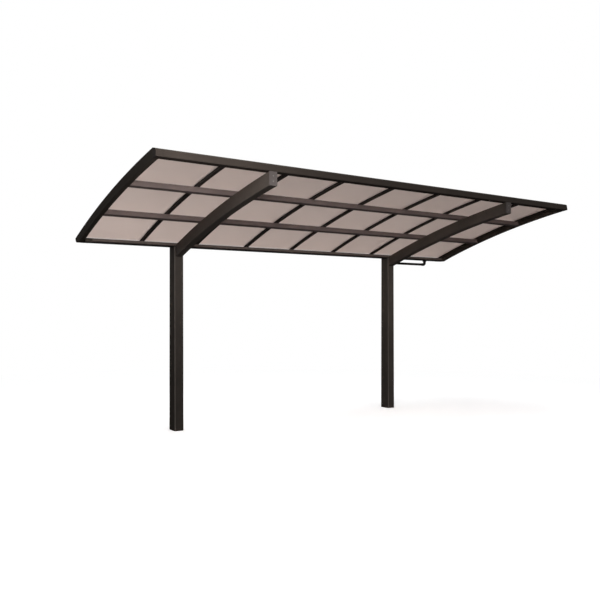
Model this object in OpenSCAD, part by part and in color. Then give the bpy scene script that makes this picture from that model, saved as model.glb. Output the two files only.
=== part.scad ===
// Cantilevered cycle-port carport: two rear posts carry two arched beams, and the
// beams carry purlins, rafters and curved polycarbonate sheets under a front frame.
// X runs along the roof, -Y points to the high open front, +Z is up.
// The origin is the middle of the left post's foot, at ground level.

/* [Roof] */
// Number of roof bays, and so of sheets
bay_count = 8; // [2:1:8]
// Distance between rafter centres
bay_pitch = 707; // [500:1:900]
// Radius of the arch at the underside of the rafters
roof_radius = 12000; // [9000:50:20000]
// Slope of the roof above the gutter's face, in degrees
gutter_slope = 19.1; // [16:0.1:22]
// Horizontal reach of the roof from the gutter's face to the front frame's face
roof_reach = 2138; // [1800:1:2400]
// Height of the rafters' underside over the gutter's underside, above the gutter's face
rafter_lift = 86; // [80:1:92]
// Clear height from the ground to the underside of the gutter
clear_height = 2222; // [1900:1:2600]

/* [Posts] */
// Distance between the post centres
post_spacing = 3396; // [2400:1:3900]
// Width of a post along the roof
post_width = 114; // [100:1:140]
// Depth of a post from front to rear
post_depth = 167; // [150:1:190]
// Lean of a post's front face towards the rear, over its height
front_lean = 11; // [0:1:24]
// Lean of a post's rear face towards the front, over its height
rear_lean = 6; // [0:1:12]
// Wall of a post
post_wall = 4; // [3:0.5:8]
// Rounding of the post's upright corners
post_corner = 5; // [3:1:20]
// Thickness of the closed foot of a post
post_foot = 10; // [6:1:20]
// Thickness of the cap on a post's top
post_cap_t = 4; // [3:0.5:8]

/* [Beams] */
// Width of a beam
beam_width = 87; // [60:1:95]
// Depth of a beam square to its arch
beam_depth = 134; // [100:1:170]
// Wall of a beam
beam_wall = 4; // [3:0.5:6]
// Thickness of the cap on a beam's tip
beam_cap_t = 8; // [4:1:14]
// Setback of a beam's cap behind the front frame's lower front edge
tip_setback = 4; // [0:1:12]
// Small rounding on the edges of beams and purlins
edge_r = 3; // [1:0.5:4]

/* [Purlins] */
// Height of a purlin square to the roof
purlin_height = 57; // [45:1:70]
// Width of a purlin along the slope
purlin_width = 57; // [40:1:70]
// Wall of a purlin
purlin_wall = 2.5; // [2:0.5:4]
// Reach from the gutter's face to the face of the rear purlin
rear_purlin_reach = 646; // [500:1:800]
// Reach from the gutter's face to the face of the front purlin
front_purlin_reach = 1394; // [1200:1:1550]

/* [Rafters and sheets] */
// Width of a rafter
rafter_width = 40; // [30:1:55]
// Height of a rafter below the sheets
rafter_height = 22; // [16:1:32]
// Wall of a rafter
rafter_wall = 2; // [1.5:0.5:3]
// Width of the web that stands between two sheets
web_width = 8; // [6:1:12]
// Width of the cover strip over a rafter
cover_width = 44; // [34:1:60]
// Height of the cover strip over a rafter
cover_height = 9; // [6:1:14]
// Thickness of a polycarbonate sheet
sheet_t = 2.5; // [2:0.5:5]
// Free play between a sheet and what holds it
sheet_gap = 0.3; // [0.2:0.1:0.6]
// Side play between a sheet's edge and its web
sheet_side_gap = 2; // [1:0.5:4]
// Distance from the gutter's face back to the rear ends of the sheets and rafters
sheet_overhang = 140; // [125:1:150]

/* [Side frames] */
// Thickness of the outer wall of a side frame
side_wall_t = 48; // [30:1:60]
// Drop of a side frame below the rafters' underside
side_drop = 56; // [35:1:60]
// Rise of a side frame above the rafters' underside
side_rise = 40; // [36:1:50]
// Half width of the rafter line that the side frame's wall stands outside of
side_inset = 0; // [0:1:10]
// Reach of the side frame's flange past the outer rafter line
side_flange = 12; // [10:1:20]

/* [Front frame] */
// Depth of the front frame along the slope
front_depth = 62; // [45:1:80]
// Height of the front frame's rear wall above the rafters' underside
front_rise = 31; // [28:1:40]
// Radius of the front frame's rounded nose
nose_r = 22; // [12:1:26]
// Height of the nose's centre below the rafters' underside
nose_drop = 1; // [0:1:12]
// Wall of the front frame
front_wall = 3; // [2:0.5:5]
// Depth of the groove that takes the sheets
groove_depth = 14; // [8:1:20]

/* [Gutter] */
// Width of the gutter from front to rear
gutter_width = 212; // [200:1:230]
// Height of the gutter's closed front box
gutter_height = 44; // [36:1:50]
// Width of the closed front box; the open trough lies behind it
box_width = 114; // [100:1:120]
// Radius of the gutter's lower rear corner
gutter_round = 58; // [50:1:64]
// Height of the gutter's rear wall
gutter_rear_height = 45; // [36:1:48]
// Wall of the gutter
gutter_wall = 2.5; // [2:0.5:4]
// Thickness of the plate that closes each end of the gutter
gutter_cap_t = 4; // [2:0.5:10]
// Height of that plate behind the closed box, low enough to pass under the side frame's flange
gutter_cap_height = 35; // [28:1:36]

/* [Downpipe] */
// Outside diameter of the downpipe
pipe_d = 36; // [30:1:44]
// Wall of the downpipe
pipe_wall = 2; // [1.5:0.5:3]
// Wall of the elbows and clamps
fitting_wall = 3; // [2:0.5:4]
// Free play between a pipe and its socket or clamp
pipe_play = 0.3; // [0.2:0.1:0.5]
// Bend radius of the elbows
bend_r = 30; // [26:1:40]
// Depth of an elbow's socket
socket_depth = 28; // [20:1:40]
// Distance from the gutter's right end to the outlet's middle
outlet_end = 315; // [150:1:600]
// Distance from the gutter's rear wall forward to the outlet's middle
outlet_inset = 72; // [60:1:80]
// Drop from the gutter's underside to the branch pipe's middle
branch_drop = 60; // [52:1:90]
// Diameter of the collar that holds the outlet to the gutter's underside
collar_d = 58; // [48:1:68]
// Height of that collar
collar_height = 14; // [8:1:18]
// Gap between the post's side and the downpipe
pipe_standoff = 8; // [5:1:20]
// Height of the downpipe's lower mouth above the ground
mouth_height = 60; // [30:1:120]
// Height of a clamp ring
clamp_height = 22; // [15:1:35]
// Number of clamps on the downpipe
clamp_count = 2; // [2:1:4]

/* [Hidden] */

frame_colour = [0.20, 0.18, 0.17];
sheet_colour = [0.62, 0.55, 0.51, 0.75];

// Smoothness of the long arches and of the small round shapes
arch_fn = 1440;
bend_fn = 360;
round_fn = 64;
// Reach of the blocks that trim one piece square to another
trim = 9000;
side_reach = 2 * roof_reach;

// Rafter line 0 lies above the left side frame; the posts stand evenly below the roof
roof_span = bay_count * bay_pitch;
first_line = (post_spacing - roof_span) / 2;
last_line = first_line + roof_span;
inner_left = first_line - side_inset;
inner_right = last_line + side_inset;

// The gutter's face is flush with the front of the posts' feet
gutter_face = -post_depth / 2;
gutter_rear = gutter_face + gutter_width;
sheet_end = gutter_face + sheet_overhang;

// Lean of the posts' faces, in degrees
front_lean_angle = atan(front_lean / clear_height);
rear_lean_angle = atan(rear_lean / clear_height);

// Centre of the arch, found from the rafters' height and slope above the gutter's face
arch_y = gutter_face - roof_radius * sin(gutter_slope);
arch_z = clear_height + rafter_lift - roof_radius * cos(gutter_slope);

// Layers above the rafters' underside
sheet_low = rafter_height + sheet_gap;
sheet_high = sheet_low + sheet_t;
cover_low = sheet_high + sheet_gap;
// Layers below it
beam_top = -purlin_height;
beam_low = beam_top - beam_depth;

// Downpipe
pipe_r = pipe_d / 2;
socket_r = pipe_r + pipe_play;
fitting_r = socket_r + fitting_wall;
outlet_x = inner_right - outlet_end;
outlet_y = gutter_rear - outlet_inset;
branch_z = clear_height - branch_drop;
drop_x = post_spacing + post_width / 2 + pipe_standoff + pipe_r;
shoe_bend = 60;

// Slope of the roof, in degrees, at a reach from the gutter's face
function slope_at(reach) = asin(sin(gutter_slope) - reach / roof_radius);

front_slope = slope_at(roof_reach);

// Upright plane of the beams' tips, just behind the front frame's lower front edge
tip_y = arch_y + (roof_radius + beam_top) * sin(front_slope) + tip_setback;

// Play that keeps stacked pieces apart, and the overshoot of a cut past a surface
seat_gap = 0.1;
end_gap = 0.3;
over = 1;

// Place of rafter line k
function line_x(k) = first_line + k * bay_pitch;

// ---- helpers ----

// Rectangle with small round corners, as plain shapes so that it stays exact
module soft_rect(w, h, r) {
  translate([r, 0]) square([w - 2 * r, h]);
  translate([0, r]) square([w, h - 2 * r]);
  for (x = [r, w - r], y = [r, h - r])
    translate([x, y]) circle(r = r, $fn = round_fn);
}

// Rectangle with its four corners cut at 45 degrees
module bevel_rect(w, h, c) {
  polygon([[c, 0], [w - c, 0], [w, c], [w, h - c], [w - c, h], [c, h], [0, h - c], [0, c]]);
}

// Channel outline, drawn as (back, up): flat below, round at the lower rear corner
module channel(width, height, round) {
  square([width - round, height]);
  intersection() {
    square([width, height]);
    union() {
      translate([width - round, round]) circle(r = round, $fn = bend_fn);
      translate([0, round]) square([width, over + height]);
    }
  }
}

// Box section: soft outside, square inside
module box_section(w, h, wall, r) {
  difference() {
    soft_rect(w, h, r);
    translate([wall, wall]) square([w - 2 * wall, h - 2 * wall]);
  }
}

// Frame of reference on the roof: x along the roof, y back down the slope, z off the arch
module on_slope(angle) {
  translate([0, arch_y, arch_z])
    rotate([-angle, 0, 0])
      translate([0, 0, roof_radius]) children();
}

// Extrudes a section, drawn as (back, up), along X from x0 over a length
module along_x(x0, length) {
  translate([x0, 0, 0])
    rotate([90, 0, 90])
      linear_extrude(height = length) children();
}

// Sweeps a section, drawn as (up from the arch, along X), from the front frame to an upright
// plane at the rear; "low" is the section's lowest point and "back" the distance kept from
// the front frame's face
module arched(low, back, rear_y) {
  start = front_slope + back / roof_radius * 180 / PI;
  end = asin((rear_y - arch_y) / (roof_radius + low)) + 0.02;
  difference() {
    translate([0, arch_y, arch_z])
      rotate([90, 0, 90])
        rotate([0, 0, 90 - end])
          rotate_extrude(angle = end - start, $fn = arch_fn)
            translate([roof_radius, 0]) children();
    translate([-trim, rear_y, -trim]) cube([3 * trim, trim, 3 * trim]);
  }
}

// ---- posts ----

// Shaft whose front and rear faces lean in; "inset" draws it smaller on every side
module shaft(x, inset, low, high) {
  width = post_width - 2 * inset;
  intersection() {
    translate([x - width / 2, -post_depth / 2 + inset, 0])
      rotate([-front_lean_angle, 0, 0])
        translate([0, 0, -post_depth])
          linear_extrude(height = 2 * clear_height)
            soft_rect(width, 2 * post_depth, max(post_corner - inset, 1));
    translate([x - width / 2, post_depth / 2 - inset, 0])
      rotate([rear_lean_angle, 0, 0])
        translate([0, -2 * post_depth, -post_depth])
          linear_extrude(height = 2 * clear_height)
            soft_rect(width, 2 * post_depth, max(post_corner - inset, 1));
    translate([x - post_width, -post_depth, low]) cube([2 * post_width, 2 * post_depth, high - low]);
  }
}

module post(x) {
  color(frame_colour)
    difference() {
      shaft(x, 0, 0, clear_height - post_cap_t);
      shaft(x, post_wall, post_foot, clear_height);
    }
}

module post_cap(x) {
  color(frame_colour) shaft(x, 0, clear_height - post_cap_t, clear_height);
}

// ---- beams ----

// Cut plumb behind the tip's cap; the root is notched under the gutter and butts on the
// post's leaning front face
module beam(x) {
  color(frame_colour)
    difference() {
      arched(beam_low, 0, front_lean - post_depth / 2)
        translate([beam_low, x - beam_width / 2])
          box_section(beam_depth, beam_width, beam_wall, edge_r);
      translate([x - beam_width, tip_y + beam_cap_t + end_gap - trim, 0])
        cube([2 * beam_width, trim, 2 * clear_height]);
      translate([x - beam_width, gutter_face - end_gap, clear_height - end_gap])
        cube([2 * beam_width, trim, trim]);
      translate([x - beam_width, -post_depth / 2 - end_gap, 0])
        rotate([-front_lean_angle, 0, 0])
          cube([2 * beam_width, trim, trim]);
    }
}

// Plumb plate that closes the tip under the front frame
module beam_cap(x) {
  color(frame_colour)
    intersection() {
      on_slope(front_slope)
        translate([x - beam_width / 2, -over, beam_low])
          rotate([-90, 0, 0])
            translate([0, -beam_depth])
              linear_extrude(height = front_depth) soft_rect(beam_width, beam_depth, edge_r);
      translate([x - beam_width, tip_y, 0]) cube([2 * beam_width, beam_cap_t, 2 * clear_height]);
    }
}

// ---- purlins ----

module purlin(reach) {
  color(frame_colour)
    on_slope(slope_at(reach - purlin_width / 2))
      along_x(inner_left, inner_right - inner_left)
        translate([-purlin_width / 2, -purlin_height])
          box_section(purlin_width, purlin_height - seat_gap, purlin_wall, edge_r);
}

// ---- rafters, covers and sheets ----

module rafter(k) {
  color(frame_colour)
    arched(0, front_depth + end_gap, sheet_end)
      translate([0, line_x(k) - rafter_width / 2]) {
        box_section(rafter_height, rafter_width, rafter_wall, edge_r / 2);
        translate([rafter_height, (rafter_width - web_width) / 2])
          square([sheet_high - rafter_height, web_width]);
      }
}

module rafter_cover(k) {
  color(frame_colour)
    arched(cover_low, front_depth + end_gap, sheet_end)
      translate([cover_low, line_x(k) - cover_width / 2])
        bevel_rect(cover_height, cover_width, edge_r);
}

module roof_sheet(k) {
  left = k == 1 ? inner_left : line_x(k - 1) + web_width / 2;
  right = k == bay_count ? inner_right : line_x(k) - web_width / 2;
  color(sheet_colour)
    arched(sheet_low, front_depth - groove_depth + sheet_side_gap, sheet_end)
      translate([sheet_low, left + sheet_side_gap])
        square([sheet_t, right - left - 2 * sheet_side_gap]);
}

// ---- side frames ----

// Outer wall of a side frame: it runs over the gutter's end and follows its round corner
module side_wall() {
  intersection() {
    arched(-side_drop, front_depth + end_gap, gutter_rear + over)
      translate([-side_drop, 0]) bevel_rect(side_rise + side_drop, side_wall_t, edge_r / 2);
    translate([0, gutter_rear - side_reach, clear_height])
      along_x(-over, side_wall_t + 2 * over) channel(side_reach, side_reach, gutter_round);
  }
}

// Flange under the edge sheet and lip over it, drawn from inside the wall past the rafter line
module side_ledges() {
  root = side_inset + side_wall_t / 2;
  arched(0, front_depth + end_gap, sheet_end) {
    translate([0, -root]) square([rafter_height, root + side_flange]);
    translate([cover_low, -root]) square([cover_height, root + cover_width / 2]);
  }
}

module side_frame() {
  translate([-side_inset - side_wall_t, 0, 0]) side_wall();
  side_ledges();
}

module left_side_frame() {
  color(frame_colour) translate([first_line, 0, 0]) side_frame();
}

module right_side_frame() {
  color(frame_colour) translate([last_line, 0, 0]) mirror([1, 0, 0]) side_frame();
}

// ---- front frame ----

// Solid outline of the front frame, drawn as (back from the face, up from the arch); "rise" is
// the height of its rear face above the arch
module front_outline(rise) {
  polygon([
    [0, -nose_drop],
    [0, -purlin_height],
    [front_depth, -purlin_height],
    [front_depth, rise],
    [nose_r, nose_r - nose_drop],
    [nose_r, -nose_drop]
  ]);
  translate([nose_r, -nose_drop]) circle(r = nose_r, $fn = round_fn);
}

// Hollow of the front frame, which leaves an even wall and the sheets' groove closed
module front_hollow() {
  translate([front_wall, front_wall - purlin_height])
    square([front_depth - 2 * front_wall, purlin_height - nose_drop - front_wall]);
  translate([nose_r, -nose_drop - over])
    square([front_depth - front_wall - nose_r, nose_r - front_wall + over]);
  translate([nose_r, -nose_drop]) circle(r = nose_r - front_wall, $fn = round_fn);
}

module front_frame() {
  color(frame_colour)
    on_slope(front_slope)
      along_x(inner_left, inner_right - inner_left)
        difference() {
          front_outline(front_rise);
          front_hollow();
          translate([front_depth - groove_depth, sheet_low - sheet_gap])
            square([groove_depth + over, sheet_t + 2 * sheet_gap]);
        }
}

// Closed end piece of the front frame, as high at its rear as the side frame
module front_corner(x0) {
  color(frame_colour)
    on_slope(front_slope)
      along_x(x0, side_wall_t) front_outline(side_rise);
}

// ---- gutter ----

// Closed box in front, which the rafters pass over, and an open trough behind it
module gutter_section() {
  difference() {
    channel(gutter_width, gutter_rear_height, gutter_round);
    translate([-over, gutter_height]) square([box_width + over, gutter_rear_height]);
    translate([gutter_wall, gutter_wall])
      square([box_width - 2 * gutter_wall, gutter_height - 2 * gutter_wall]);
    translate([box_width, gutter_wall])
      channel(gutter_width - box_width - gutter_wall, gutter_rear_height, gutter_round - gutter_wall);
  }
}

module gutter() {
  margin = gutter_cap_t + 2 * seat_gap;
  color(frame_colour)
    difference() {
      translate([0, gutter_face, clear_height])
        along_x(inner_left + margin, inner_right - inner_left - 2 * margin) gutter_section();
      translate([outlet_x, outlet_y, clear_height - over])
        cylinder(r = pipe_r - pipe_wall, h = gutter_wall + 2 * over, $fn = round_fn);
    }
}

// Plate that closes the gutter's end against the side frame
module gutter_cap(x0) {
  color(frame_colour)
    translate([0, gutter_face, clear_height])
      along_x(x0, gutter_cap_t) {
        square([box_width, gutter_height]);
        channel(gutter_width, gutter_cap_height, gutter_round);
      }
}

// ---- downpipe ----

// Ring section, swept or stood up by the fittings
module ring(r_out, r_in) {
  difference() {
    circle(r = r_out, $fn = round_fn);
    circle(r = r_in, $fn = round_fn);
  }
}

// Quarter bend from straight down at the top to level, towards -X, with a socket on the level end
module elbow_to_level() {
  translate([-bend_r, 0, 0])
    rotate([-90, 0, 0])
      rotate_extrude(angle = 90, $fn = round_fn)
        translate([bend_r, 0]) ring(fitting_r, pipe_r - pipe_wall);
  translate([-bend_r, 0, -bend_r])
    rotate([0, -90, 0])
      linear_extrude(height = socket_depth) ring(fitting_r, socket_r);
}

module downpipe_outlet() {
  color(frame_colour)
    translate([outlet_x, outlet_y, branch_z + bend_r]) {
      elbow_to_level();
      linear_extrude(height = branch_drop - bend_r) ring(fitting_r, pipe_r - pipe_wall);
      translate([0, 0, branch_drop - bend_r - collar_height])
        linear_extrude(height = collar_height) ring(collar_d / 2, pipe_r - pipe_wall);
    }
}

module downpipe_branch() {
  x0 = drop_x + bend_r + pipe_play;
  x1 = outlet_x - bend_r - pipe_play;
  color(frame_colour)
    translate([x0, outlet_y, branch_z])
      rotate([0, 90, 0])
        linear_extrude(height = x1 - x0) ring(pipe_r, pipe_r - pipe_wall);
}

// Quarter bend from level, coming from +X, to straight down, with a socket on both ends
module downpipe_elbow() {
  color(frame_colour)
    translate([drop_x, outlet_y, branch_z]) {
      translate([bend_r, 0, -bend_r])
        rotate([-90, 180, 0])
          rotate_extrude(angle = 90, $fn = round_fn)
            translate([bend_r, 0]) ring(fitting_r, pipe_r - pipe_wall);
      translate([bend_r, 0, 0])
        rotate([0, 90, 0])
          linear_extrude(height = socket_depth) ring(fitting_r, socket_r);
      translate([0, 0, -bend_r - socket_depth])
        linear_extrude(height = socket_depth) ring(fitting_r, socket_r);
    }
}

// Straight pipe with a short shoe that turns the water to the rear
module downpipe() {
  top = branch_z - bend_r - pipe_play;
  low = mouth_height + (bend_r + pipe_r) * sin(shoe_bend);
  color(frame_colour)
    translate([drop_x, outlet_y, 0]) {
      translate([0, 0, low])
        linear_extrude(height = top - low) ring(pipe_r, pipe_r - pipe_wall);
      translate([0, bend_r, low])
        rotate([-90, 0, -90])
          rotate_extrude(angle = shoe_bend, $fn = round_fn)
            translate([bend_r, 0]) ring(pipe_r, pipe_r - pipe_wall);
    }
}

// Rings round the downpipe, each on a block against the post's side
module downpipe_clamps() {
  low = mouth_height + 300;
  step = (branch_z - bend_r - socket_depth - 250 - low) / (clamp_count - 1);
  face = post_spacing + post_width / 2;
  block_y = min(outlet_y, post_depth / 2 - post_corner - clamp_height / 2);
  color(frame_colour)
    for (i = [0 : clamp_count - 1])
      translate([0, 0, low + i * step])
        difference() {
          union() {
            translate([drop_x, outlet_y, 0]) cylinder(r = fitting_r, h = clamp_height, $fn = round_fn);
            translate([face, block_y - clamp_height / 2, 0])
              cube([drop_x - face, outlet_y - block_y + clamp_height / 2, clamp_height]);
          }
          translate([drop_x, outlet_y, -1]) cylinder(r = socket_r, h = clamp_height + 2, $fn = round_fn);
        }
}

// ---- assembly ----

post(0);  // left_post
post(post_spacing);  // right_post
post_cap(0);  // left_post_cap
post_cap(post_spacing);  // right_post_cap
beam(0);  // left_beam
beam(post_spacing);  // right_beam
beam_cap(0);  // left_beam_cap
beam_cap(post_spacing);  // right_beam_cap
purlin(rear_purlin_reach);  // rear_purlin
purlin(front_purlin_reach);  // front_purlin
front_frame();
front_corner(inner_left - side_wall_t);  // left_front_corner
front_corner(inner_right);  // right_front_corner
left_side_frame();
right_side_frame();
for (k = [1 : bay_count - 1]) rafter(k);
for (k = [1 : bay_count - 1]) rafter_cover(k);
for (k = [1 : bay_count]) roof_sheet(k);
gutter();
gutter_cap(inner_left + seat_gap);  // left_gutter_cap
gutter_cap(inner_right - gutter_cap_t - seat_gap);  // right_gutter_cap
downpipe_outlet();
downpipe_branch();
downpipe_elbow();
downpipe();
downpipe_clamps();
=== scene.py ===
"""Dress of the cantilevered carport: finishes for the frame's own nodes, and the seals,
screws, ribs and gutter sleeves that go on them."""
import math
import bpy
import numpy as np
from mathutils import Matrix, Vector


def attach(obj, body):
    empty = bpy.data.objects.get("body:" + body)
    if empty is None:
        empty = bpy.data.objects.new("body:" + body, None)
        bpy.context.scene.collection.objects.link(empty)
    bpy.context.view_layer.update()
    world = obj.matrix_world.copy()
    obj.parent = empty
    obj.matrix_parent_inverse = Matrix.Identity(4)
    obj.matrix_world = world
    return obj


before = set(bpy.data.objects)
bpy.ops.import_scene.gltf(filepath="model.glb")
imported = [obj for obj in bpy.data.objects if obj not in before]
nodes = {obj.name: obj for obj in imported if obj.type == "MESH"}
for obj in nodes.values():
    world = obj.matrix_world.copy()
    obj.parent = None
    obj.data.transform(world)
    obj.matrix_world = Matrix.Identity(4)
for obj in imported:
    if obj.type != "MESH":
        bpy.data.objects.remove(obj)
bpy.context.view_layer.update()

# ---------------------------------------------------------------- sizes, in metres

# Roof: the arch under the rafters, its slope over the gutter's face, and its reach to the front
ROOF_RADIUS = 12.0
GUTTER_SLOPE = math.radians(19.1)
ROOF_REACH = 2.138
SHEET_OVERHANG = 0.140
# Height of the gutter's underside, and of the arch above it
CLEAR_HEIGHT = 2.222
RAFTER_LIFT = 0.086
POST_SPACING = 3.396
POST_WIDTH = 0.114
POST_DEPTH = 0.167
# How far the posts' front faces lean back over the clear height
FRONT_LEAN = 0.011
BAY_COUNT = 8
BAY_PITCH = 0.707
PURLIN_HEIGHT = 0.057
# How far the front of the beams' caps stands back from the end of the arch
TIP_SETBACK = 0.004
RAFTER_WIDTH = 0.040
RAFTER_HEIGHT = 0.022
SHEET_GAP = 0.0003
SHEET_THICKNESS = 0.0025
COVER_WIDTH = 0.044
COVER_HEIGHT = 0.009
SIDE_FLANGE = 0.012
GUTTER_WIDTH = 0.212
GUTTER_HEIGHT = 0.044
GUTTER_ROUND = 0.058
FRONT_DEPTH = 0.062
# Axis of the drainpipe, the undersides of its clamps and their outer radius
PIPE_X = POST_SPACING + 0.083
PIPE_Y = 0.0565
LOWER_CLAMP = 0.360
UPPER_CLAMP = 1.854
CLAMP_HEIGHT = 0.022
CLAMP_RADIUS = 0.0213

# Heights off the arch of the sheets and covers, its centre, and the lines of the rafters
SHEET_LOW = RAFTER_HEIGHT + SHEET_GAP
SHEET_HIGH = SHEET_LOW + SHEET_THICKNESS
COVER_LOW = SHEET_HIGH + SHEET_GAP
COVER_TOP = COVER_LOW + COVER_HEIGHT
GUTTER_FACE = -POST_DEPTH / 2
ARCH_Y = GUTTER_FACE - ROOF_RADIUS * math.sin(GUTTER_SLOPE)
ARCH_Z = CLEAR_HEIGHT + RAFTER_LIFT - ROOF_RADIUS * math.cos(GUTTER_SLOPE)
FIRST_LINE = (POST_SPACING - BAY_COUNT * BAY_PITCH) / 2
LAST_LINE = FIRST_LINE + BAY_COUNT * BAY_PITCH
LINES = FIRST_LINE + BAY_PITCH * np.arange(1, BAY_COUNT)


def slope_at(reach):
    """Slope of the roof, in radians, at a horizontal reach from the gutter's face."""
    return math.asin(math.sin(GUTTER_SLOPE) - reach / ROOF_RADIUS)


FRONT_SLOPE = slope_at(ROOF_REACH)
REAR_SLOPE = slope_at(-SHEET_OVERHANG)
TIP_Y = ARCH_Y + (ROOF_RADIUS - PURLIN_HEIGHT) * math.sin(FRONT_SLOPE) + TIP_SETBACK


def on_arch(x, up, slope):
    """Points of the roof: x along it, up off the arch, slope its angle from the vertical.

    y = ARCH_Y + (R + up) sin(slope), z = ARCH_Z + (R + up) cos(slope)."""
    x, up, slope = np.broadcast_arrays(x, up, slope)
    radius = ROOF_RADIUS + up
    return np.stack([x, ARCH_Y + radius * np.sin(slope), ARCH_Z + radius * np.cos(slope)], -1)


# ---------------------------------------------------------------- camera and stage

# Place of the camera, its turn in degrees, and its lens
EYE = (-3.4354, -7.7390, 1.4856)
EYE_TURN = -34.156
LENS_LENGTH = 41.12
LENS_SHIFT = 0.013

scene = bpy.context.scene
scene.view_settings.view_transform = "Standard"

lens = bpy.data.cameras.new("view")
lens.lens = LENS_LENGTH
lens.sensor_width = 36.0
lens.shift_y = LENS_SHIFT
lens.clip_end = 200.0
camera = bpy.data.objects.new("view", lens)
camera.location = EYE
camera.rotation_euler = (math.radians(90.0), 0.0, math.radians(EYE_TURN))
scene.collection.objects.link(camera)
scene.camera = camera


def node_tree(material):
    """The material's node tree, emptied."""
    material.use_nodes = True
    material.node_tree.nodes.clear()
    return material.node_tree


def add_node(tree, kind, at, **values):
    """A node of a tree; values named after its settings or, failing that, its inputs."""
    node = tree.nodes.new(kind)
    node.location = at
    for name, value in values.items():
        if hasattr(node, name):
            setattr(node, name, value)
        else:
            node.inputs[name].default_value = value
    return node


# The floor's half side, its tone as seen and as it lights the object, and its own light as seen
FLOOR_HALF = 60.0
FLOOR_TONE = 0.90
FLOOR_BOUNCE = 0.07
FLOOR_LIFT = 0.42
# It fades to white between two distances from a middle point
FADE_CENTRE = (1.7, -1.0, 0.0)
FADE_FROM, FADE_TO = 3.5, 9.0
# Strength of the world's light on the object
WORLD_FILL = 0.42
LAMPS = (
    # name, place, aim, size and power
    ("front_lamp", (2.4, -8.0, 3.0), (1.9, -1.0, 1.9), 3.0, 165.0),
    ("side_lamp", (-1.1, -3.6, 2.75), (0.0, -1.7, 2.5), 1.2, 70.0),
    ("top_lamp", (1.0, -1.5, 9.0), (1.5, -1.0, 2.4), 6.0, 380.0),
    ("rear_lamp", (1.2, 10.0, 5.0), (1.2, -0.5, 2.0), 8.0, 28.0),
)


def floor_material():
    """Pale floor that keeps the shadow, fades to white with distance and throws little light back."""
    material = bpy.data.materials.new("pale_floor")
    tree = node_tree(material)
    out = add_node(tree, "ShaderNodeOutputMaterial", (600, 0))
    near = add_node(tree, "ShaderNodeBsdfPrincipled", (0, 100), Roughness=0.85)
    near.inputs["Specular IOR Level"].default_value = 0.1
    far = add_node(tree, "ShaderNodeEmission", (0, -200), Strength=1.0)
    place = add_node(tree, "ShaderNodeTexCoord", (-800, 0))
    centre = add_node(tree, "ShaderNodeVectorMath", (-600, 0), operation="DISTANCE")
    centre.inputs[1].default_value = FADE_CENTRE
    fade = add_node(tree, "ShaderNodeMapRange", (-400, 0), interpolation_type="SMOOTHSTEP")
    fade.inputs["From Min"].default_value = FADE_FROM
    fade.inputs["From Max"].default_value = FADE_TO
    path = add_node(tree, "ShaderNodeLightPath", (-400, 300))
    seen = add_node(tree, "ShaderNodeMath", (-200, 200), operation="MULTIPLY")
    lift = add_node(tree, "ShaderNodeEmission", (0, -50))
    lift_gain = add_node(tree, "ShaderNodeMath", (-200, -50), operation="MULTIPLY")
    lift_gain.inputs[1].default_value = FLOOR_LIFT
    lifted = add_node(tree, "ShaderNodeAddShader", (150, 50))
    mix = add_node(tree, "ShaderNodeMixShader", (300, 0))
    tone = add_node(tree, "ShaderNodeMapRange", (-250, 500))
    tone.inputs["To Min"].default_value = FLOOR_BOUNCE
    tone.inputs["To Max"].default_value = FLOOR_TONE
    link = tree.links.new
    link(path.outputs["Is Camera Ray"], lift_gain.inputs[0])
    link(lift_gain.outputs[0], lift.inputs["Strength"])
    link(near.outputs[0], lifted.inputs[0])
    link(lift.outputs[0], lifted.inputs[1])
    link(path.outputs["Is Camera Ray"], tone.inputs["Value"])
    link(tone.outputs["Result"], near.inputs["Base Color"])
    link(place.outputs["Object"], centre.inputs[0])
    link(centre.outputs["Value"], fade.inputs["Value"])
    link(fade.outputs["Result"], seen.inputs[0])
    link(path.outputs["Is Camera Ray"], seen.inputs[1])
    link(seen.outputs[0], mix.inputs[0])
    link(lifted.outputs[0], mix.inputs[1])
    link(far.outputs[0], mix.inputs[2])
    link(mix.outputs[0], out.inputs["Surface"])
    return material


def build_floor():
    """Level square of floor under the carport."""
    mesh = bpy.data.meshes.new("floor")
    half = FLOOR_HALF
    mesh.from_pydata([(-half, -half, 0), (half, -half, 0), (half, half, 0), (-half, half, 0)],
                     [], [(0, 1, 2, 3)])
    floor = bpy.data.objects.new("floor", mesh)
    scene.collection.objects.link(floor)
    mesh.materials.append(floor_material())


def build_world():
    """World that lights softly and shows white to the camera, in gloss and through the sheets."""
    world = bpy.data.worlds.new("studio")
    scene.world = world
    world.use_nodes = True
    tree = world.node_tree
    tree.nodes.clear()
    out = add_node(tree, "ShaderNodeOutputWorld", (600, 0))
    fill = add_node(tree, "ShaderNodeBackground", (0, 0), Strength=WORLD_FILL)
    fill.inputs["Color"].default_value = (0.97, 0.98, 1.0, 1)
    white = add_node(tree, "ShaderNodeBackground", (0, -200), Strength=1.0)
    white.inputs["Color"].default_value = (1, 1, 1, 1)
    path = add_node(tree, "ShaderNodeLightPath", (-400, 200))
    seen = add_node(tree, "ShaderNodeMath", (-200, 200), operation="MAXIMUM")
    seen_more = add_node(tree, "ShaderNodeMath", (-50, 200), operation="MAXIMUM")
    mix = add_node(tree, "ShaderNodeMixShader", (300, 0))
    link = tree.links.new
    link(path.outputs["Is Camera Ray"], seen.inputs[0])
    link(path.outputs["Is Glossy Ray"], seen.inputs[1])
    link(seen.outputs[0], seen_more.inputs[0])
    link(path.outputs["Is Transmission Ray"], seen_more.inputs[1])
    link(seen_more.outputs[0], mix.inputs[0])
    link(fill.outputs[0], mix.inputs[1])
    link(white.outputs[0], mix.inputs[2])
    link(mix.outputs[0], out.inputs["Surface"])


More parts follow.
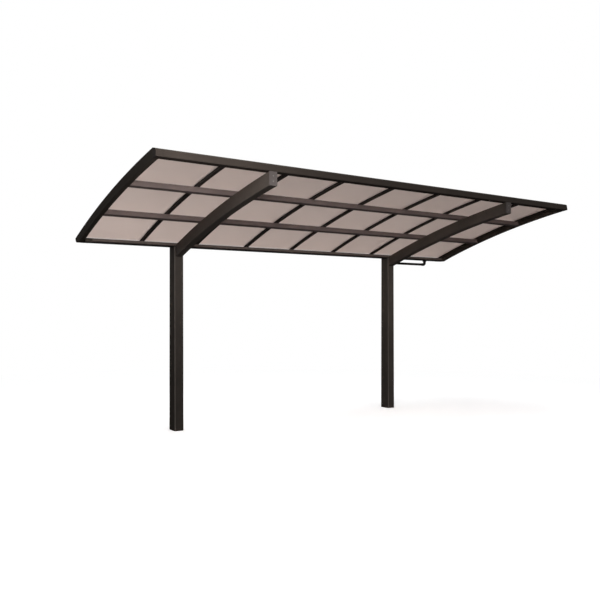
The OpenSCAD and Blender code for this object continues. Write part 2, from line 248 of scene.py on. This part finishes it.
def build_lamps():
    """Soft round lamps, each turned towards its aim."""
    for name, place, aim, size, power in LAMPS:
        lamp = bpy.data.lights.new(name, "AREA")
        lamp.shape = "DISK"
        lamp.size = size
        lamp.energy = power
        holder = bpy.data.objects.new(name, lamp)
        holder.location = place
        holder.rotation_euler = (Vector(aim) - Vector(place)).to_track_quat("-Z", "Y").to_euler()
        scene.collection.objects.link(holder)


build_floor()
build_world()
build_lamps()

# ---------------------------------------------------------------- finishes

BRONZE = (0.05, 0.04, 0.035, 1)
DUST_GREY = (0.30, 0.28, 0.25, 1)
# Colour sockets of a Mix node: both inputs and the result
MIX_A, MIX_B, MIX_RESULT = 6, 7, 2


def new_group(name, inputs, outputs):
    """A shader node group with named sockets; inputs are (kind, name, value) rows."""
    group = bpy.data.node_groups.new(name, "ShaderNodeTree")
    for kind, label, value in inputs:
        socket = group.interface.new_socket(label, in_out="INPUT", socket_type="NodeSocket" + kind)
        socket.default_value = value
    for kind, label in outputs:
        group.interface.new_socket(label, in_out="OUTPUT", socket_type="NodeSocket" + kind)
    given = add_node(group, "NodeGroupInput", (-1400, 0))
    result = add_node(group, "NodeGroupOutput", (900, 0))
    return group, given, result


LINE_ROUGHNESS = 0.16
LINE_RELIEF = 0.35


def coat_group():
    """Baked coat on extruded metal: cloudy tone, fine peel and faint lines along the extrusion.

    Colour = colour (1 + Spread cloud), cloud from -1 to 1; the lines move the roughness to both
    sides of its value, and Height = peel + LINE_RELIEF lines."""
    group, given, result = new_group(
        "baked_coat",
        [("Color", "Colour", BRONZE), ("Vector", "Stretch", (1, 1, 1)),
         ("Float", "Spread", 0.12), ("Float", "Roughness", 0.42)],
        [("Color", "Colour"), ("Float", "Roughness"), ("Float", "Height")])
    link = group.links.new
    place = add_node(group, "ShaderNodeTexCoord", (-1400, 300))
    cloud = add_node(group, "ShaderNodeTexNoise", (-900, 300), Scale=2.3, Detail=5.0, Roughness=0.6)
    peel = add_node(group, "ShaderNodeTexNoise", (-900, 0), Scale=700.0, Detail=2.0, Roughness=0.5)
    along = add_node(group, "ShaderNodeVectorMath", (-1150, -300), operation="MULTIPLY")
    lines = add_node(group, "ShaderNodeTexNoise", (-900, -300), Scale=260.0, Detail=2.0, Roughness=0.4)
    link(place.outputs["Object"], cloud.inputs["Vector"])
    link(place.outputs["Object"], peel.inputs["Vector"])
    link(place.outputs["Object"], along.inputs[0])
    link(given.outputs["Stretch"], along.inputs[1])
    link(along.outputs[0], lines.inputs["Vector"])
    centred = add_node(group, "ShaderNodeMapRange", (-650, 300))
    centred.inputs["From Min"].default_value = 0.3
    centred.inputs["From Max"].default_value = 0.7
    centred.inputs["To Min"].default_value = -1.0
    centred.inputs["To Max"].default_value = 1.0
    link(cloud.outputs["Fac"], centred.inputs["Value"])
    gain = add_node(group, "ShaderNodeMath", (-450, 300), operation="MULTIPLY_ADD")
    gain.inputs[2].default_value = 1.0
    link(centred.outputs[0], gain.inputs[0])
    link(given.outputs["Spread"], gain.inputs[1])
    tone = add_node(group, "ShaderNodeVectorMath", (-200, 300), operation="SCALE")
    link(given.outputs["Colour"], tone.inputs[0])
    link(gain.outputs[0], tone.inputs["Scale"])
    link(tone.outputs[0], result.inputs["Colour"])
    rough = add_node(group, "ShaderNodeMath", (-200, 0), operation="MULTIPLY_ADD")
    rough.inputs[1].default_value = LINE_ROUGHNESS
    link(lines.outputs["Fac"], rough.inputs[0])
    low = add_node(group, "ShaderNodeMath", (-450, 0), operation="SUBTRACT")
    low.inputs[1].default_value = LINE_ROUGHNESS / 2
    link(given.outputs["Roughness"], low.inputs[0])
    link(low.outputs[0], rough.inputs[2])
    link(rough.outputs[0], result.inputs["Roughness"])
    height = add_node(group, "ShaderNodeMath", (-200, -300), operation="MULTIPLY_ADD")
    height.inputs[1].default_value = LINE_RELIEF
    link(lines.outputs["Fac"], height.inputs[0])
    link(peel.outputs["Fac"], height.inputs[2])
    link(height.outputs[0], result.inputs["Height"])
    return group


COAT = coat_group()


DUST_ROUGHNESS = 0.5


def dust_group():
    """Thin dust on faces that look up: colour mixed towards the dust's, roughness raised.

    Cover = Amount times how far the face looks up times how dense its patch of dust is."""
    group, given, result = new_group(
        "settled_dust",
        [("Color", "Colour", BRONZE), ("Float", "Roughness", 0.4),
         ("Float", "Amount", 0.25), ("Color", "Dust", DUST_GREY)],
        [("Color", "Colour"), ("Float", "Roughness")])
    link = group.links.new
    surface = add_node(group, "ShaderNodeNewGeometry", (-1400, 500))
    split = add_node(group, "ShaderNodeSeparateXYZ", (-1150, 500))
    link(surface.outputs["Normal"], split.inputs[0])
    upward = add_node(group, "ShaderNodeMapRange", (-900, 500), interpolation_type="SMOOTHSTEP")
    upward.inputs["From Min"].default_value = 0.35
    upward.inputs["From Max"].default_value = 0.95
    link(split.outputs["Z"], upward.inputs["Value"])
    place = add_node(group, "ShaderNodeTexCoord", (-1400, 200))
    patches = add_node(group, "ShaderNodeTexNoise", (-1150, 200), Scale=5.0, Detail=6.0, Roughness=0.65)
    link(place.outputs["Object"], patches.inputs["Vector"])
    spots = add_node(group, "ShaderNodeMapRange", (-900, 200))
    spots.inputs["From Min"].default_value = 0.35
    spots.inputs["From Max"].default_value = 0.70
    link(patches.outputs["Fac"], spots.inputs["Value"])
    both = add_node(group, "ShaderNodeMath", (-650, 350), operation="MULTIPLY")
    link(upward.outputs[0], both.inputs[0])
    link(spots.outputs[0], both.inputs[1])
    cover = add_node(group, "ShaderNodeMath", (-450, 350), operation="MULTIPLY")
    link(both.outputs[0], cover.inputs[0])
    link(given.outputs["Amount"], cover.inputs[1])
    mixed = add_node(group, "ShaderNodeMix", (-200, 300), data_type="RGBA")
    link(cover.outputs[0], mixed.inputs[0])
    link(given.outputs["Colour"], mixed.inputs[MIX_A])
    link(given.outputs["Dust"], mixed.inputs[MIX_B])
    link(mixed.outputs[MIX_RESULT], result.inputs["Colour"])
    rough = add_node(group, "ShaderNodeMath", (-200, 0), operation="MULTIPLY_ADD", use_clamp=True)
    rough.inputs[1].default_value = DUST_ROUGHNESS
    link(cover.outputs[0], rough.inputs[0])
    link(given.outputs["Roughness"], rough.inputs[2])
    link(rough.outputs[0], result.inputs["Roughness"])
    return group


DUST = dust_group()


# Painted highlight on the posts' front corners: full out to the first distance, gone at the width
CORNER_FULL = 0.004
CORNER_WIDTH = 0.010


def corner_highlight_group():
    """Painted highlight along the upright front corners of the posts: 1 on the corner, 0 at Width.

    Mask = 1 - smoothstep(max(a, b)), a the distance in from the nearest post's side face and b
    the distance back from its leaning front face, y = GUTTER_FACE + FRONT_LEAN z / CLEAR_HEIGHT."""
    group, given, result = new_group(
        "post_corner_highlights", [("Float", "Width", CORNER_WIDTH)], [("Float", "Mask")])
    link = group.links.new
    place = add_node(group, "ShaderNodeTexCoord", (-1400, 300))
    split = add_node(group, "ShaderNodeSeparateXYZ", (-1200, 300))
    link(place.outputs["Object"], split.inputs[0])

    def calculate(operation, at, *values):
        """A maths node; each value is a number or a socket."""
        sum_node = add_node(group, "ShaderNodeMath", at, operation=operation)
        for socket, value in zip(sum_node.inputs, values):
            if isinstance(value, (int, float)):
                socket.default_value = value
            else:
                link(value, socket)
        return sum_node.outputs[0]

    left = calculate("ABSOLUTE", (-1000, 400), split.outputs["X"])
    shifted = calculate("SUBTRACT", (-1000, 250), split.outputs["X"], POST_SPACING)
    right = calculate("ABSOLUTE", (-850, 250), shifted)
    nearest = calculate("MINIMUM", (-700, 350), left, right)
    inward = calculate("SUBTRACT", (-550, 350), POST_WIDTH / 2, nearest)
    lean = FRONT_LEAN / CLEAR_HEIGHT
    face = calculate("MULTIPLY_ADD", (-1000, 50), split.outputs["Z"], lean, GUTTER_FACE)
    back = calculate("SUBTRACT", (-700, 50), split.outputs["Y"], face)
    away = calculate("MAXIMUM", (-400, 250), inward, back)
    fade = add_node(group, "ShaderNodeMapRange", (-200, 250), interpolation_type="SMOOTHSTEP")
    fade.inputs["From Min"].default_value = CORNER_FULL
    fade.inputs["To Min"].default_value = 1.0
    fade.inputs["To Max"].default_value = 0.0
    link(away, fade.inputs["Value"])
    link(given.outputs["Width"], fade.inputs["From Max"])
    link(fade.outputs["Result"], result.inputs["Mask"])
    return group


CORNER_HIGHLIGHTS = corner_highlight_group()


def shade_by_height_group():
    """Coat whose tone changes with height, for painted shade: darker low on the posts and along the
    gutter's lower edge.

    Colour = colour (Low + (High - Low) smoothstep(z)), z the height in metres, Bottom to Top."""
    group, given, result = new_group(
        "painted_shade_by_height",
        [("Color", "Colour", BRONZE), ("Float", "Bottom", 0.0), ("Float", "Top", 1.0),
         ("Float", "Low", 1.0), ("Float", "High", 1.0)],
        [("Color", "Colour")])
    link = group.links.new
    place = add_node(group, "ShaderNodeTexCoord", (-1000, 300))
    split = add_node(group, "ShaderNodeSeparateXYZ", (-800, 300))
    rise = add_node(group, "ShaderNodeMapRange", (-600, 300), interpolation_type="SMOOTHSTEP")
    tone = add_node(group, "ShaderNodeVectorMath", (-300, 100), operation="SCALE")
    link(place.outputs["Object"], split.inputs[0])
    link(split.outputs["Z"], rise.inputs["Value"])
    link(given.outputs["Bottom"], rise.inputs["From Min"])
    link(given.outputs["Top"], rise.inputs["From Max"])
    link(given.outputs["Low"], rise.inputs["To Min"])
    link(given.outputs["High"], rise.inputs["To Max"])
    link(given.outputs["Colour"], tone.inputs[0])
    link(rise.outputs["Result"], tone.inputs["Scale"])
    link(tone.outputs[0], result.inputs["Colour"])
    return group


HEIGHT = shade_by_height_group()
# Bottom, top, low and high of the tone: painted shade on the posts, darker low down and lighter high
# up, and painted shade along the gutter's lower edge for its shaded underside
POST_PAINTED_SHADE = (0.6, 2.2, 0.72, 1.15)
GUTTER_PAINTED_SHADE = (CLEAR_HEIGHT + 0.004, CLEAR_HEIGHT + 0.018, 0.12, 1.0)
# Lighter colour painted on the posts' front corners as a highlight
CORNER_HIGHLIGHT_COLOUR = (0.115, 0.100, 0.090, 1)
COAT_DUST = 0.22


def coat_material(name, colour, stretch, roughness, spread=0.12, bump=0.00006, gloss=0.05,
                  heights=None, corners=False):
    """Baked satin coat in one colour; stretch thins the lines along the extrusion.

    heights paints shade that changes with height, and corners paints a highlight on a post's front
    corners."""
    material = bpy.data.materials.new(name)
    tree = node_tree(material)
    out = add_node(tree, "ShaderNodeOutputMaterial", (600, 0))
    shader = add_node(tree, "ShaderNodeBsdfPrincipled", (250, 0))
    coat = add_node(tree, "ShaderNodeGroup", (-250, 0))
    coat.node_tree = COAT
    coat.inputs["Colour"].default_value = (*colour, 1)
    coat.inputs["Stretch"].default_value = stretch
    coat.inputs["Spread"].default_value = spread
    coat.inputs["Roughness"].default_value = roughness
    shader.inputs["Specular IOR Level"].default_value = gloss
    dust = add_node(tree, "ShaderNodeGroup", (0, 100))
    dust.node_tree = DUST
    dust.inputs["Amount"].default_value = COAT_DUST
    relief = add_node(tree, "ShaderNodeBump", (0, -250), Strength=1.0, Distance=bump)
    link = tree.links.new
    toned = coat.outputs["Colour"]
    # Painted shade that changes with height
    if heights:
        change = add_node(tree, "ShaderNodeGroup", (-350, 500))
        change.node_tree = HEIGHT
        for label, value in zip(("Bottom", "Top", "Low", "High"), heights):
            change.inputs[label].default_value = value
        link(toned, change.inputs["Colour"])
        toned = change.outputs["Colour"]
    # Painted highlight mixed in on the posts' front corners
    if corners:
        highlight_mask = add_node(tree, "ShaderNodeGroup", (-450, 300))
        highlight_mask.node_tree = CORNER_HIGHLIGHTS
        thin = add_node(tree, "ShaderNodeMix", (-150, 300), data_type="RGBA")
        thin.inputs[MIX_B].default_value = CORNER_HIGHLIGHT_COLOUR
        link(highlight_mask.outputs["Mask"], thin.inputs[0])
        link(toned, thin.inputs[MIX_A])
        toned = thin.outputs[MIX_RESULT]
    link(toned, dust.inputs["Colour"])
    link(coat.outputs["Roughness"], dust.inputs["Roughness"])
    link(dust.outputs["Colour"], shader.inputs["Base Color"])
    link(dust.outputs["Roughness"], shader.inputs["Roughness"])
    link(coat.outputs["Height"], relief.inputs["Height"])
    link(relief.outputs["Normal"], shader.inputs["Normal"])
    link(shader.outputs[0], out.inputs["Surface"])
    return material


SMOKE_DARK = (0.725, 0.600, 0.545, 1)
SMOKE_LIGHT = (0.785, 0.650, 0.590, 1)
SHEET_DUST = 0.10
SHEET_DUST_BROWN = (0.42, 0.37, 0.33, 1)
SHEET_ROUGHNESS = 0.34
# Painted shade on the sheets, as a factor on their colour: darker at the front frame, lighter over the
# gutter's face
SHEET_FRONT_Y, SHEET_FRONT_PAINTED_SHADE = -2.1, 0.93
SHEET_REAR_Y, SHEET_REAR_PAINTED_LIGHT = 0.0, 1.07


def sheet_material():
    """Smoked polycarbonate: tinted, slightly hazy, with a faint cloud of tone, and painted shade that
    makes it darker at the front.
    """
    material = bpy.data.materials.new("smoked_sheet")
    tree = node_tree(material)
    out = add_node(tree, "ShaderNodeOutputMaterial", (600, 0))
    shader = add_node(tree, "ShaderNodeBsdfPrincipled", (250, 0), IOR=1.45)
    shader.inputs["Transmission Weight"].default_value = 0.9
    place = add_node(tree, "ShaderNodeTexCoord", (-900, 0))
    cloud = add_node(tree, "ShaderNodeTexNoise", (-700, 0), Scale=1.2, Detail=4.0, Roughness=0.55)
    tones = add_node(tree, "ShaderNodeValToRGB", (-450, 0))
    tones.color_ramp.elements[0].position = 0.3
    tones.color_ramp.elements[0].color = SMOKE_DARK
    tones.color_ramp.elements[1].position = 0.7
    tones.color_ramp.elements[1].color = SMOKE_LIGHT
    link = tree.links.new
    link(place.outputs["Object"], cloud.inputs["Vector"])
    link(cloud.outputs["Fac"], tones.inputs["Fac"])
    split = add_node(tree, "ShaderNodeSeparateXYZ", (-700, 250))
    link(place.outputs["Object"], split.inputs[0])
    # Painted shade: the sheets' colour scaled from darker at the front to lighter at the rear
    painted_depth_shade = add_node(tree, "ShaderNodeMapRange", (-450, 250))
    painted_depth_shade.inputs["From Min"].default_value = SHEET_FRONT_Y
    painted_depth_shade.inputs["From Max"].default_value = SHEET_REAR_Y
    painted_depth_shade.inputs["To Min"].default_value = SHEET_FRONT_PAINTED_SHADE
    painted_depth_shade.inputs["To Max"].default_value = SHEET_REAR_PAINTED_LIGHT
    link(split.outputs["Y"], painted_depth_shade.inputs["Value"])
    smoke = add_node(tree, "ShaderNodeVectorMath", (-200, 150), operation="SCALE")
    link(tones.outputs["Color"], smoke.inputs[0])
    link(painted_depth_shade.outputs["Result"], smoke.inputs["Scale"])
    dust = add_node(tree, "ShaderNodeGroup", (0, 100))
    dust.node_tree = DUST
    dust.inputs["Amount"].default_value = SHEET_DUST
    dust.inputs["Roughness"].default_value = SHEET_ROUGHNESS
    dust.inputs["Dust"].default_value = SHEET_DUST_BROWN
    link(smoke.outputs[0], dust.inputs["Colour"])
    link(dust.outputs["Colour"], shader.inputs["Base Color"])
    link(dust.outputs["Roughness"], shader.inputs["Roughness"])
    link(shader.outputs[0], out.inputs["Surface"])
    return material


# How the coat's fine lines are stretched: along X, the arch or Z, or not at all
LONG_X = (0.02, 1.0, 1.0)
LONG_Y = (1.0, 0.02, 0.3)
LONG_Z = (1.0, 1.0, 0.02)
EVEN = (1.0, 1.0, 1.0)
# The frame's extrusions share one bronze coat; each part's colour here is set to how bright it looks in
# its light, so the differences between them are painted light and shade, lightest on the rails and
# gutter, darkest on the front frame and rafters
finish = {
    # The two posts share one coat: the right post's colour is lighter as painted light, the left's
    # darker as painted shade
    "left_post": coat_material("left_post_coat_shaded", (0.043, 0.036, 0.031), LONG_Z, 0.60, gloss=0.012,
                               heights=POST_PAINTED_SHADE, corners=True),
    "right_post": coat_material("right_post_coat_lit", (0.066, 0.055, 0.048), LONG_Z, 0.60, gloss=0.012,
                                heights=POST_PAINTED_SHADE, corners=True),
    "side": coat_material("side_coat", (0.042, 0.035, 0.029), LONG_Y, 0.62, gloss=0.005),
    "beam": coat_material("beam_coat", (0.062, 0.051, 0.044), LONG_Y, 0.55),
    "rail": coat_material("rail_coat", (0.102, 0.079, 0.074), LONG_X, 0.55),
    "gutter": coat_material("gutter_coat", (0.098, 0.078, 0.070), LONG_X, 0.55, gloss=0.02,
                            heights=GUTTER_PAINTED_SHADE),
    "front": coat_material("front_coat", (0.024, 0.019, 0.016), LONG_X, 0.55, gloss=0.02),
    "rafter": coat_material("rafter_coat", (0.028, 0.023, 0.020), LONG_Y, 0.48),
    "trim": coat_material("trim_plastic", (0.060, 0.051, 0.048), EVEN, 0.60),
    "pipe": coat_material("pipe_plastic", (0.022, 0.019, 0.017), EVEN, 0.40),
    "rubber": coat_material("seal_rubber", (0.014, 0.013, 0.013), EVEN, 0.62,
                            spread=0.20, bump=0.00003, gloss=0.3),
    "screw": coat_material("screw_steel", (0.075, 0.066, 0.060), EVEN, 0.34,
                           spread=0.08, bump=0.00002, gloss=0.5),
    "sheet": sheet_material(),
}


def finish_of(name):
    """The finish that a node of the frame takes, from its name."""
    if name.startswith("roof_sheet"):
        return "sheet"
    if "pipe" in name:
        return "pipe"
    if name == "gutter":
        return "gutter"
    if "purlin" in name:
        return "rail"
    if name == "front_frame" or name.endswith("front_corner"):
        return "front"
    if "side_frame" in name or "gutter_cap" in name:
        return "side"
    if name.endswith("post") or "post_cap" in name:
        return "left_post" if name.startswith("left") else "right_post"
    if "beam_cap" in name:
        return "trim"
    if "beam" in name:
        return "beam"
    return "rafter"


for name, piece in nodes.items():
    piece.data.materials.clear()
    piece.data.materials.append(finish[finish_of(name)])

# ---------------------------------------------------------------- small pieces

HALF_TURN = np.linspace(-math.pi / 2, math.pi / 2, 7)


def add_piece(name, points, faces, material):
    """One closed piece from an array of points and lists of corner numbers, faces outwards.

    Six times its volume is the sum of a . (b x c) over its triangles, below 0 if inside out."""
    points = np.asarray(points, float).reshape(-1, 3)
    mesh = bpy.data.meshes.new(name)
    mesh.from_pydata(points.tolist(), [], faces)
    mesh.calc_loop_triangles()
    corners = np.empty(3 * len(mesh.loop_triangles), np.int32)
    mesh.loop_triangles.foreach_get("vertices", corners)
    a, b, c = points[corners.reshape(-1, 3).T]
    if np.einsum("ij,ij->", a, np.cross(b, c)) < 0:
        mesh.flip_normals()
    mesh.materials.append(finish[material])
    piece = bpy.data.objects.new(name, mesh)
    scene.collection.objects.link(piece)
    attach(piece, "root")


def tube_faces(rings, sides, first):
    """Faces of a closed tube whose points are numbered ring by ring from first, ends included."""
    start = first + sides * np.arange(rings)[:, None]
    here = start + np.arange(sides)
    after = start + (np.arange(sides) + 1) % sides
    walls = np.stack([here[:-1], after[:-1], after[1:], here[1:]], -1).reshape(-1, 4)
    return walls.tolist() + [here[0, ::-1].tolist(), here[-1].tolist()]


def add_tubes(name, tubes, material):
    """One piece of several closed tubes, each an array of rings by sides by (x, y, z)."""
    faces = []
    first = 0
    for tube in tubes:
        rings, sides = tube.shape[:2]
        faces += tube_faces(rings, sides, first)
        first += rings * sides
    add_piece(name, np.concatenate([tube.reshape(-1, 3) for tube in tubes]), faces, material)


def strips(name, sections, slopes, material):
    """Strips along the arch: each section is a closed loop of (x, up), carried over the slopes."""
    tubes = [on_arch(section[:, 0], section[:, 1], slopes[:, None]) for section in sections]
    add_tubes(name, tubes, material)


def bars(name, sections, x0, x1, material):
    """Bars along X: each section is a closed loop of (y, z), drawn from x0 to x1."""
    tubes = [np.stack([np.insert(section, 0, x, axis=1) for x in (x0, x1)]) for section in sections]
    add_tubes(name, tubes, material)


def lip(x, side, low, high):
    """Loop of a soft rubber lip: flat on its back at x, round on the side it faces.

    x + side LIP_WIDTH cos(t) and middle + half height sin(t), t from -90 to 90 degrees."""
    loop = np.stack([x + side * LIP_WIDTH * np.cos(HALF_TURN),
                     (low + high) / 2 + (high - low) / 2 * np.sin(HALF_TURN)], -1)
    return loop[::side]


def seal_lips(half_width, end_inset, low, high):
    """Lips on both sides of every rafter's line, and on the inner side of the two end lines."""
    return ([lip(x + side * half_width, side, low, high) for x in LINES for side in (-1, 1)]
            + [lip(FIRST_LINE + end_inset, 1, low, high), lip(LAST_LINE - end_inset, -1, low, high)])


# Pan-head screw: rings of (radius, height) as shares of the head's, from its washer to its socket
SCREW_RINGS = np.array([[1.30, -0.10], [1.30, 0.18], [1.00, 0.26], [0.93, 0.72], [0.66, 0.97],
                        [0.44, 1.00], [0.42, 0.40]])
SCREW_TURNS = 12
SOCKET_RING = 5


def screw_shape(radius, height):
    """Rings of a pan-head screw with a six-sided socket, round its own axis.

    Rings of the socket take r cos(30 deg) at every second point, which makes a hexagon."""
    number = np.arange(SCREW_TURNS)
    turn = 2 * math.pi * number / SCREW_TURNS
    hexagon = np.where(number % 2 == 0, 1.0, math.cos(math.pi / 6))
    in_socket = np.arange(len(SCREW_RINGS))[:, None] >= SOCKET_RING
    radii = SCREW_RINGS[:, :1] * radius * np.where(in_socket, hexagon, 1.0)
    heights = np.broadcast_to(SCREW_RINGS[:, 1:] * height, radii.shape)
    return np.stack([radii * np.cos(turn), radii * np.sin(turn), heights], -1)


def screws(name, places, axes, radius, height):
    """Screws at the places: p = place + a u + b v + h axis, u and v square to the screw's axis."""
    shape = screw_shape(radius, height)
    places, axes = np.asarray(places, float), np.asarray(axes, float)
    first = np.cross(axes, (1.0, 0.0, 0.0))
    first /= np.linalg.norm(first, axis=1, keepdims=True)
    second = np.cross(axes, first)
    turned = np.stack([first, second, axes], 1)
    add_tubes(name, places[:, None, None] + np.einsum("rsk,nkc->nrsc", shape, turned), "screw")


def arch_axes(slopes):
    """Directions that stand square off the arch at the slopes."""
    return np.stack([np.zeros_like(slopes), np.sin(slopes), np.cos(slopes)], -1)


# Seals: a lip on both sides of every rafter under the sheets and of every cover over them
ARCH_STEPS = 96
LIP_WIDTH = 0.0028
LIP_PRESS = 0.0001
LOWER_LIP_DROP = 0.0045
UPPER_LIP_RISE = 0.0035
LIP_END_GAP = 0.001

inner_slopes = np.linspace(slope_at(ROOF_REACH - FRONT_DEPTH - LIP_END_GAP), REAR_SLOPE, ARCH_STEPS)
lower_lips = seal_lips(RAFTER_WIDTH / 2, SIDE_FLANGE,
                       RAFTER_HEIGHT - LOWER_LIP_DROP, SHEET_LOW + LIP_PRESS)
upper_lips = seal_lips(COVER_WIDTH / 2, COVER_WIDTH / 2,
                       SHEET_HIGH - LIP_PRESS, COVER_LOW + UPPER_LIP_RISE)
strips("lower_seals", lower_lips, inner_slopes, "rubber")
strips("upper_seals", upper_lips, inner_slopes, "rubber")

# Screws along the covers and the lips of the side frames
SCREW_ROWS = 8
FRONT_SCREW_INSET = 0.050
REAR_SCREW_INSET = 0.030
END_SCREW_INSET = 0.004
COVER_SCREW_RADIUS, COVER_SCREW_HEIGHT = 0.0048, 0.0030

screw_reach = np.linspace(ROOF_REACH - FRONT_DEPTH - FRONT_SCREW_INSET,
                          -SHEET_OVERHANG + REAR_SCREW_INSET, SCREW_ROWS)
screw_slopes = [slope_at(reach) for reach in screw_reach]
cover_x = [FIRST_LINE + END_SCREW_INSET, *LINES, LAST_LINE - END_SCREW_INSET]
grid_x, grid_slope = [part.ravel() for part in np.meshgrid(cover_x, screw_slopes, indexing="ij")]
screws("cover_screws", on_arch(grid_x, COVER_TOP, grid_slope), arch_axes(grid_slope),
       COVER_SCREW_RADIUS, COVER_SCREW_HEIGHT)


def on_front(back, up):
    """Points (y, z) of the front frame, back from its face and up from the arch.

    y = ARCH_Y + (R + up) sin(s) + back cos(s), z = ARCH_Z + (R + up) cos(s) - back sin(s)."""
    radius = ROOF_RADIUS + up
    return np.stack([ARCH_Y + radius * np.sin(FRONT_SLOPE) + back * math.cos(FRONT_SLOPE),
                     ARCH_Z + radius * np.cos(FRONT_SLOPE) - back * math.sin(FRONT_SLOPE)], -1)


# Rubber beads where the front frame's groove takes the sheets, above and below them
BEAD_SIZE = 0.0022
BEAD_OFFSET = 0.0020
BEAD_SEAT = 0.0005


def front_bead(up):
    """Half-round bead on the front frame's rear face, centred at a height off the arch."""
    return on_front(FRONT_DEPTH + np.append(BEAD_SIZE * np.cos(HALF_TURN), [-BEAD_SEAT, -BEAD_SEAT]),
                    up + np.append(BEAD_SIZE * np.sin(HALF_TURN), [BEAD_SIZE, -BEAD_SIZE]))


bars("front_seals", [front_bead(SHEET_LOW - BEAD_OFFSET), front_bead(SHEET_HIGH + BEAD_OFFSET)],
     FIRST_LINE, LAST_LINE, "rubber")

# Two screws on the cap of each beam, one above the other, and one on each clamp of the pipe
CAP_SCREW_DROPS = (0.042, 0.094)
CAP_SCREW_RADIUS, CAP_SCREW_HEIGHT = 0.0055, 0.0030
CLAMP_SCREW_RADIUS, CLAMP_SCREW_HEIGHT = 0.0036, 0.0024
CLAMP_SCREW_SINK = 0.0004
FORWARD = (0.0, -1.0, 0.0)

tip_z = on_front(0.0, -PURLIN_HEIGHT)[1]
cap_places = [(x, TIP_Y, tip_z - drop) for x in (0.0, POST_SPACING) for drop in CAP_SCREW_DROPS]
screws("cap_screws", cap_places, [FORWARD] * len(cap_places), CAP_SCREW_RADIUS, CAP_SCREW_HEIGHT)
clamp_front = PIPE_Y - CLAMP_RADIUS + CLAMP_SCREW_SINK
clamp_places = [(PIPE_X, clamp_front, low + CLAMP_HEIGHT / 2) for low in (LOWER_CLAMP, UPPER_CLAMP)]
screws("clamp_screws", clamp_places, [FORWARD] * len(clamp_places),
       CLAMP_SCREW_RADIUS, CLAMP_SCREW_HEIGHT)

# Moulded sleeve on each end of the gutter, round its face and underside
SLEEVE_WALL = 0.0012
SLEEVE_SEAT = 0.0002
SLEEVE_LENGTH = 0.080

gutter_flat = GUTTER_FACE + GUTTER_WIDTH - GUTTER_ROUND
gutter_top = CLEAR_HEIGHT + GUTTER_HEIGHT
outer_y, outer_z = GUTTER_FACE - SLEEVE_WALL, CLEAR_HEIGHT - SLEEVE_WALL
inner_y, inner_z = GUTTER_FACE + SLEEVE_SEAT, CLEAR_HEIGHT + SLEEVE_SEAT
sleeve = [(outer_y, gutter_top), (outer_y, outer_z), (gutter_flat, outer_z),
          (gutter_flat, inner_z), (inner_y, inner_z), (inner_y, gutter_top)]
bars("left_gutter_sleeve", [sleeve], FIRST_LINE, FIRST_LINE + SLEEVE_LENGTH, "side")
bars("right_gutter_sleeve", [sleeve], LAST_LINE - SLEEVE_LENGTH, LAST_LINE, "side")

# Fine ribs along the front frame's face, as its extrusion gives them
RIB_RISE = 0.0007
RIB_SEAT = 0.0004
RIB_HALF_BASE = 0.0016
RIB_HALF_CREST = 0.0010
RIB_LINES = (-0.0085, -0.0480)

rib_back = np.array([RIB_SEAT, -RIB_RISE, -RIB_RISE, RIB_SEAT])
rib_up = np.array([-RIB_HALF_BASE, -RIB_HALF_CREST, RIB_HALF_CREST, RIB_HALF_BASE])
bars("front_ribs", [on_front(rib_back, up + rib_up) for up in RIB_LINES],
     FIRST_LINE, LAST_LINE, "front")
